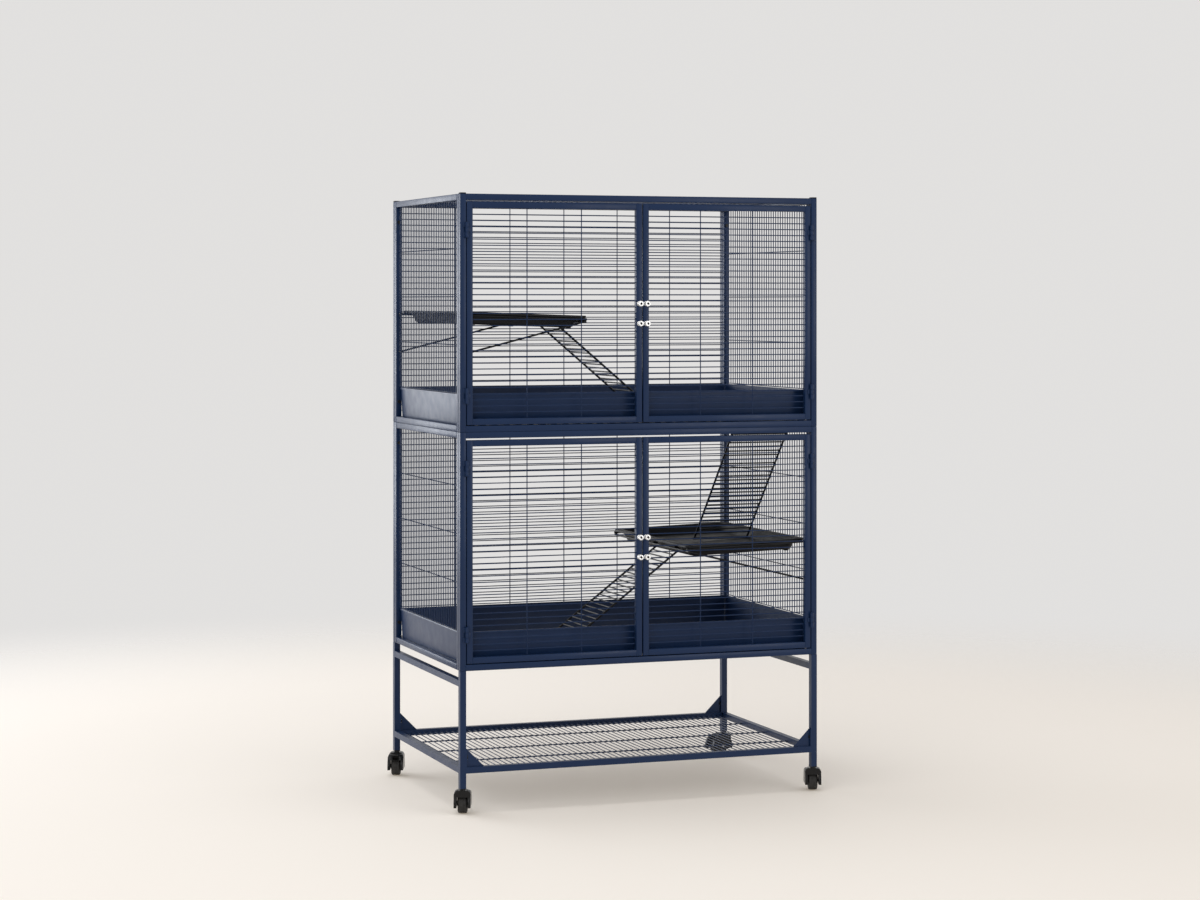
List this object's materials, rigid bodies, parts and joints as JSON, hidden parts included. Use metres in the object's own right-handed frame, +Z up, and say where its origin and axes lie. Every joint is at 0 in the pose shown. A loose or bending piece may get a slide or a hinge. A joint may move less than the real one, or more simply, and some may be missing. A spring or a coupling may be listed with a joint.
{
  "type": "ferret cage",
  "caption": "Two-storey wire cage for ferrets on a rolling stand, with double doors, ramps, platforms, pans, a storage shelf and swivel casters.",
  "frame": {"origin": "centre of the cage's footprint, on the floor under the casters", "axes": "+X to the right of someone facing the doors, +Y from the doors to the back, +Z up"},
  "size_m": [0.834, 0.5333, 1.2552],
  "materials": {
    "navy_paint": "midnight blue satin powder coat",
    "black_paint": "black powder-coated wire",
    "black_plastic": "moulded black plastic, fine texture",
    "caster_plastic": "black nylon, slight sheen",
    "wheel_rubber": "black rubber tread on a nylon wheel",
    "chrome": "bright plated",
    "zinc": "zinc-plated steel"
  },
  "bodies": {
    "cage": {"stand_left_frame": "navy_paint", "stand_right_frame": "navy_paint", "stand_front_rail": "navy_paint", "stand_back_rail": "navy_paint", "wire_shelf": "navy_paint", "stand_bolts": "black_paint", "panel_bolts": "black_paint", "leg_spigots": "black_plastic", "storey_spigots": "black_plastic", "post_caps": "black_plastic", "lower_front_frame": "navy_paint", "upper_front_frame": "navy_paint", "lower_back_panel": "navy_paint", "upper_back_panel": "navy_paint", "lower_left_panel": "navy_paint", "lower_right_panel": "navy_paint", "upper_left_panel": "navy_paint", "upper_right_panel": "navy_paint", "roof_panel": "navy_paint", "hinge_pins": "navy_paint", "lower_floor_grate": "navy_paint", "upper_floor_grate": "navy_paint", "upper_pan": "navy_paint", "upper_platform": "black_plastic", "lower_platform": "black_plastic", "upper_bracket": "black_paint", "lower_bracket": "black_paint", "caster_sockets": "black_plastic"},
    "lower_left_door": {"lower_left_door": "navy_paint", "lower_left_studs": "chrome"},
    "lower_right_door": {"lower_right_door": "navy_paint"},
    "lower_latch_a": {"lower_latch_a": "chrome"},
    "lower_latch_b": {"lower_latch_b": "chrome"},
    "upper_left_door": {"upper_left_door": "navy_paint", "upper_left_studs": "chrome"},
    "upper_right_door": {"upper_right_door": "navy_paint"},
    "upper_latch_a": {"upper_latch_a": "chrome"},
    "upper_latch_b": {"upper_latch_b": "chrome"},
    "upper_ramp": {"upper_ramp": "black_paint"},
    "middle_ramp": {"middle_ramp": "black_paint"},
    "lower_ramp": {"lower_ramp": "black_paint"},
    "lower_pan": {"lower_pan": "navy_paint"},
    "caster_fl": {"caster_hood_fl": "caster_plastic", "caster_axle_fl": "zinc"},
    "wheel_fl": {"caster_wheel_fl": "wheel_rubber"},
    "pedal_fl": {"brake_pedal_fl": "caster_plastic"},
    "caster_fr": {"caster_hood_fr": "caster_plastic", "caster_axle_fr": "zinc"},
    "wheel_fr": {"caster_wheel_fr": "wheel_rubber"},
    "pedal_fr": {"brake_pedal_fr": "caster_plastic"},
    "caster_bl": {"caster_hood_bl": "caster_plastic", "caster_axle_bl": "zinc"},
    "wheel_bl": {"caster_wheel_bl": "wheel_rubber"},
    "pedal_bl": {"brake_pedal_bl": "caster_plastic"},
    "caster_br": {"caster_hood_br": "caster_plastic", "caster_axle_br": "zinc"},
    "wheel_br": {"caster_wheel_br": "wheel_rubber"},
    "pedal_br": {"brake_pedal_br": "caster_plastic"}
  },
  "joints": [
    {"name": "lower_left_door_hinge", "type": "hinge", "parent": "cage", "child": "lower_left_door", "pos_m": [-0.38005, -0.258, 0.53], "axis": [0, 0, -1], "range_deg": [0, 170]},
    {"name": "lower_right_door_hinge", "type": "hinge", "parent": "cage", "child": "lower_right_door", "pos_m": [0.38005, -0.258, 0.53], "axis": [0, 0, 1], "range_deg": [0, 170]},
    {"name": "lower_latch_a_turn", "type": "hinge", "parent": "lower_right_door", "child": "lower_latch_a", "pos_m": [0.0076, -0.254, 0.5075], "axis": [0, -1, 0], "range_deg": [0, 90]},
    {"name": "lower_latch_b_turn", "type": "hinge", "parent": "lower_right_door", "child": "lower_latch_b", "pos_m": [0.0076, -0.254, 0.5485], "axis": [0, -1, 0], "range_deg": [0, 90]},
    {"name": "upper_left_door_hinge", "type": "hinge", "parent": "cage", "child": "upper_left_door", "pos_m": [-0.38005, -0.258, 1.012], "axis": [0, 0, -1], "range_deg": [0, 170]},
    {"name": "upper_right_door_hinge", "type": "hinge", "parent": "cage", "child": "upper_right_door", "pos_m": [0.38005, -0.258, 1.012], "axis": [0, 0, 1], "range_deg": [0, 170]},
    {"name": "upper_latch_a_turn", "type": "hinge", "parent": "upper_right_door", "child": "upper_latch_a", "pos_m": [0.0076, -0.254, 0.9895], "axis": [0, -1, 0], "range_deg": [0, 90]},
    {"name": "upper_latch_b_turn", "type": "hinge", "parent": "upper_right_door", "child": "upper_latch_b", "pos_m": [0.0076, -0.254, 1.0305], "axis": [0, -1, 0], "range_deg": [0, 90]},
    {"name": "upper_ramp_hook", "type": "hinge", "parent": "cage", "child": "upper_ramp", "pos_m": [-0.115, 0.024, 0.99321], "axis": [0, -1, 0], "range_deg": [0, 25]},
    {"name": "lower_ramp_hook", "type": "hinge", "parent": "cage", "child": "lower_ramp", "pos_m": [0.115, -0.089, 0.51121], "axis": [0, 1, 0], "range_deg": [0, 25]},
    {"name": "middle_ramp_hook", "type": "hinge", "parent": "cage", "child": "middle_ramp", "pos_m": [0.2915, -0.212, 0.7785], "axis": [1, 0, 0], "range_deg": [0, 25]},
    {"name": "lower_pan_slide", "type": "slide", "parent": "cage", "child": "lower_pan", "axis": [-1, 0, 0], "range_m": [0, 0.35]},
    {"name": "swivel_fl", "type": "hinge", "parent": "cage", "child": "caster_fl", "pos_m": [-0.38715, -0.24765, 0.052], "axis": [0, 0, 1], "continuous": true},
    {"name": "roll_fl", "type": "hinge", "parent": "caster_fl", "child": "wheel_fl", "pos_m": [-0.38236, -0.23449, 0.02], "axis": [0.9397, -0.342, 0], "continuous": true},
    {"name": "brake_fl", "type": "hinge", "parent": "caster_fl", "child": "pedal_fl", "pos_m": [-0.37792, -0.22228, 0.04], "axis": [-0.9397, 0.342, 0], "range_deg": [0, 18]},
    {"name": "swivel_fr", "type": "hinge", "parent": "cage", "child": "caster_fr", "pos_m": [0.38715, -0.24765, 0.052], "axis": [0, 0, 1], "continuous": true},
    {"name": "roll_fr", "type": "hinge", "parent": "caster_fr", "child": "wheel_fr", "pos_m": [0.39194, -0.23449, 0.02], "axis": [0.9397, -0.342, 0], "continuous": true},
    {"name": "brake_fr", "type": "hinge", "parent": "caster_fr", "child": "pedal_fr", "pos_m": [0.39638, -0.22228, 0.04], "axis": [-0.9397, 0.342, 0], "range_deg": [0, 18]},
    {"name": "swivel_bl", "type": "hinge", "parent": "cage", "child": "caster_bl", "pos_m": [-0.38715, 0.24765, 0.052], "axis": [0, 0, 1], "continuous": true},
    {"name": "roll_bl", "type": "hinge", "parent": "caster_bl", "child": "wheel_bl", "pos_m": [-0.39194, 0.23449, 0.02], "axis": [-0.9397, 0.342, 0], "continuous": true},
    {"name": "brake_bl", "type": "hinge", "parent": "caster_bl", "child": "pedal_bl", "pos_m": [-0.39638, 0.22228, 0.04], "axis": [0.9397, -0.342, 0], "range_deg": [0, 18]},
    {"name": "swivel_br", "type": "hinge", "parent": "cage", "child": "caster_br", "pos_m": [0.38715, 0.24765, 0.052], "axis": [0, 0, 1], "continuous": true},
    {"name": "roll_br", "type": "hinge", "parent": "caster_br", "child": "wheel_br", "pos_m": [0.37363, 0.24403, 0.02], "axis": [-0.2588, 0.9659, 0], "continuous": true},
    {"name": "brake_br", "type": "hinge", "parent": "caster_br", "child": "pedal_br", "pos_m": [0.36107, 0.24066, 0.04], "axis": [0.2588, -0.9659, 0], "range_deg": [0, 18]}
  ]
}
